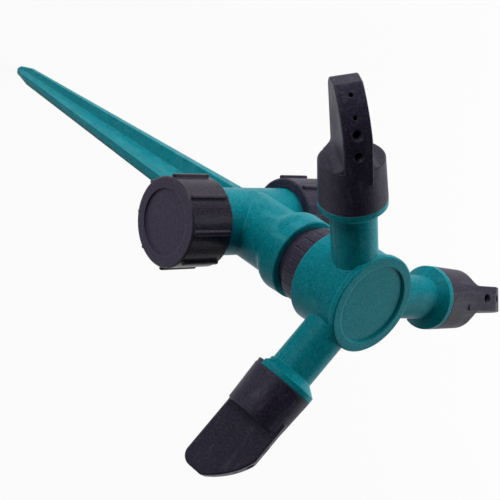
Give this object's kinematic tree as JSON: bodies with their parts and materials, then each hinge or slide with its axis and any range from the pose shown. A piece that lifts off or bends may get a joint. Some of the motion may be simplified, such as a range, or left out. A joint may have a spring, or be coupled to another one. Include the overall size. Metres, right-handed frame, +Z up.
{
  "type": "rotating lawn sprinkler",
  "caption": "Rotating lawn sprinkler: arms with adjustable curved nozzles spin on a hollow hub, over a hose-fed tee moulded in one with its ground spike.",
  "frame": {"origin": "on the spike's axis at the ground line, 20 mm below the hose tee's axis", "axes": "+Z up along the spike and the rotor's axis, +X out of the hose inlet, -X out of the end cap"},
  "size_m": [0.1404, 0.1519, 0.2672],
  "materials": {
    "teal_plastic": "satin moulded",
    "black_plastic": "fine satin grain",
    "white_plastic": "smooth natural acetal",
    "black_rubber": "matt"
  },
  "bodies": {
    "base": {"tee_spike_body": "teal_plastic", "hose_washer": "black_rubber", "bearing_nut": "black_plastic", "bearing_gasket": "black_rubber", "stem_seal": "black_rubber", "thrust_washer": "white_plastic"},
    "rotor": {"rotor_base": "teal_plastic", "rotor_cover": "teal_plastic", "rotor_stem": "white_plastic", "stem_gasket": "black_rubber", "stem_lock_nut": "white_plastic", "nozzle_o_ring_1": "black_rubber", "nozzle_o_ring_2": "black_rubber", "nozzle_o_ring_3": "black_rubber"},
    "nozzle_1_body": {"nozzle_1": "black_plastic"},
    "nozzle_2_body": {"nozzle_2": "black_plastic"},
    "nozzle_3_body": {"nozzle_3": "black_plastic"},
    "hose_nut_body": {"hose_nut": "black_plastic"},
    "end_cap_carriage": {"end_cap_washer": "black_rubber"},
    "end_cap_body": {"end_cap": "black_plastic"}
  },
  "joints": [
    {"name": "rotor_spin", "type": "hinge", "parent": "base", "child": "rotor", "pos_m": [0, 0, 0.0854], "axis": [0, 0, 1], "continuous": true},
    {"name": "nozzle_1_turn", "type": "hinge", "parent": "rotor", "child": "nozzle_1_body", "pos_m": [0, 0, 0.0854], "axis": [-0.4187, 0.9081, 0], "range_deg": [0, 50]},
    {"name": "nozzle_2_turn", "type": "hinge", "parent": "rotor", "child": "nozzle_2_body", "pos_m": [0, 0, 0.0854], "axis": [0.9958, -0.0915, 0], "range_deg": [0, 50]},
    {"name": "nozzle_3_turn", "type": "hinge", "parent": "rotor", "child": "nozzle_3_body", "pos_m": [0, 0, 0.0854], "axis": [-0.5771, -0.8166, 0], "range_deg": [0, 50]},
    {"name": "hose_nut_swivel", "type": "hinge", "parent": "base", "child": "hose_nut_body", "pos_m": [0.0286, 0, 0.02], "axis": [1, 0, 0], "continuous": true},
    {"name": "end_cap_slide", "type": "slide", "parent": "base", "child": "end_cap_carriage", "axis": [-1, 0, 0], "range_m": [0, 0.01361]},
    {"name": "end_cap_turn", "type": "hinge", "parent": "end_cap_carriage", "child": "end_cap_body", "pos_m": [-0.0318, 0, 0.02], "axis": [-1, 0, 0], "range_deg": [0, 2700]}
  ],
  "couplings": [
    {"joint": "end_cap_slide", "follows": "end_cap_turn", "m_per_rad": 0.00028874}
  ]
}
